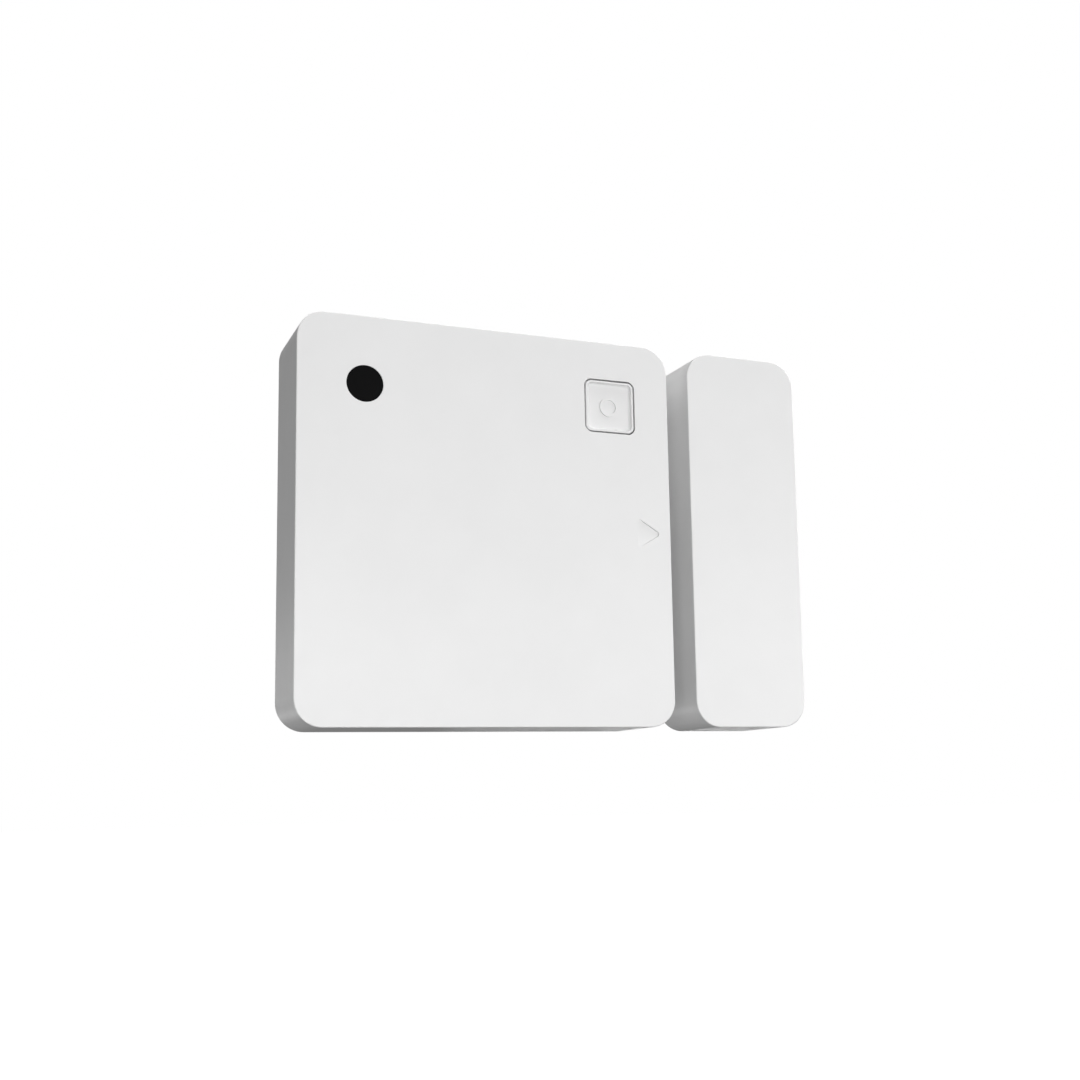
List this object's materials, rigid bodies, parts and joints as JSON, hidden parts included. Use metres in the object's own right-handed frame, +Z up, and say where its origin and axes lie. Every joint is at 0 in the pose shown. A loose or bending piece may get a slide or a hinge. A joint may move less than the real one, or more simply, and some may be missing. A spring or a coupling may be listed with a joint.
{
  "type": "door contact sensor",
  "caption": "White two-piece magnetic door and window sensor: a square unit with a push button and light window, and a narrow magnet unit.",
  "frame": {"origin": "centre of the sensor unit's mounting face, on the rear of its adhesive pad", "axes": "+X towards the magnet unit, +Y into the door or frame that it sticks to, +Z up"},
  "size_m": [0.0507, 0.009, 0.0372],
  "materials": {
    "case_white": "fine satin moulded texture",
    "button_white": "fine satin moulded texture",
    "dark_window": "dark tinted, softly glossy",
    "foam_pad": "closed-cell foam with a release liner",
    "black_moulding": "matt moulded",
    "stamped_steel": "stamped, lightly brushed",
    "tinned_metal": "tin plated",
    "solder_mask": "green solder mask over glass fibre",
    "masked_copper": "copper under solder mask",
    "gold_pads": "flash gold plated",
    "chip_epoxy": "matt moulded epoxy",
    "chip_ceramic": "fired ceramic",
    "clear_epoxy": "clear epoxy",
    "led_epoxy": "phosphor under clear epoxy",
    "reed_glass": "clear, slightly green",
    "solder": "bright solder",
    "cell_steel": "nickel-plated steel, fine turned marks",
    "cell_gasket": "natural nylon",
    "cell_filling": "pressed electrode stack",
    "magnet_nickel": "nickel plated"
  },
  "bodies": {
    "mounting_base": {"sensor_back_cover": "case_white", "back_cover_snap_hooks": "case_white", "sensor_adhesive_pad": "foam_pad"},
    "sensor_case": {"sensor_front_housing": "case_white", "light_sensor_window": "dark_window", "tact_switch_base": "black_moulding", "tact_switch_cover": "stamped_steel", "tact_switch_terminals": "tinned_metal", "tact_switch_dome": "stamped_steel", "circuit_board": "solder_mask", "trace_antenna": "masked_copper", "test_pads": "gold_pads", "radio_chip": "chip_epoxy", "radio_chip_lands": "tinned_metal", "crystal_oscillator": "stamped_steel", "chip_component_bodies": "chip_ceramic", "chip_component_terminals": "tinned_metal", "light_sensor_chip": "clear_epoxy", "status_led": "led_epoxy", "reed_glass": "reed_glass", "reed_lead_lower": "tinned_metal", "reed_lead_upper": "tinned_metal", "reed_solder_joints": "solder", "coin_cell_can": "cell_steel", "coin_cell_gasket": "cell_gasket", "coin_cell_cap": "cell_steel", "coin_cell_electrodes": "cell_filling", "battery_holder": "black_moulding", "battery_positive_contact": "stamped_steel", "battery_negative_contact": "stamped_steel"},
    "button": {"button_cap": "button_white"},
    "switch_plunger": {"tact_switch_plunger": "black_moulding"},
    "reed_spring_blade": {"reed_blade": "tinned_metal"},
    "magnet_unit": {"magnet_front_housing": "case_white", "magnet_back_cover": "case_white", "bar_magnet": "magnet_nickel", "magnet_adhesive_pad": "foam_pad"}
  },
  "joints": [
    {"name": "case_release", "type": "slide", "parent": "mounting_base", "child": "sensor_case", "axis": [0, -1, 0], "range_m": [0, 0.012], "deforming": ["back_cover_snap_hooks"]},
    {"name": "button_press", "type": "slide", "parent": "sensor_case", "child": "button", "axis": [0, 1, 0], "range_m": [0, 0.0002], "stiffness_N_per_m": 5000, "springref_m": -0.0001, "deforming": ["tact_switch_dome"]},
    {"name": "plunger_travel", "type": "slide", "parent": "sensor_case", "child": "switch_plunger", "axis": [0, 1, 0], "range_m": [0, 0.0002], "deforming": ["tact_switch_dome"]},
    {"name": "door_opening", "type": "slide", "parent": "mounting_base", "child": "magnet_unit", "axis": [1, 0, 0], "range_m": [0, 0.04]},
    {"name": "reed_flex", "type": "hinge", "parent": "sensor_case", "child": "reed_spring_blade", "pos_m": [0.0146, -0.004, 0.0042], "axis": [1, 0, 0], "range_deg": [0, 1.2]}
  ],
  "couplings": [
    {"joint": "plunger_travel", "follows": "button_press", "ratio": 1},
    {"joint": "reed_flex", "follows": "door_opening", "rad_per_m": 0.52}
  ]
}
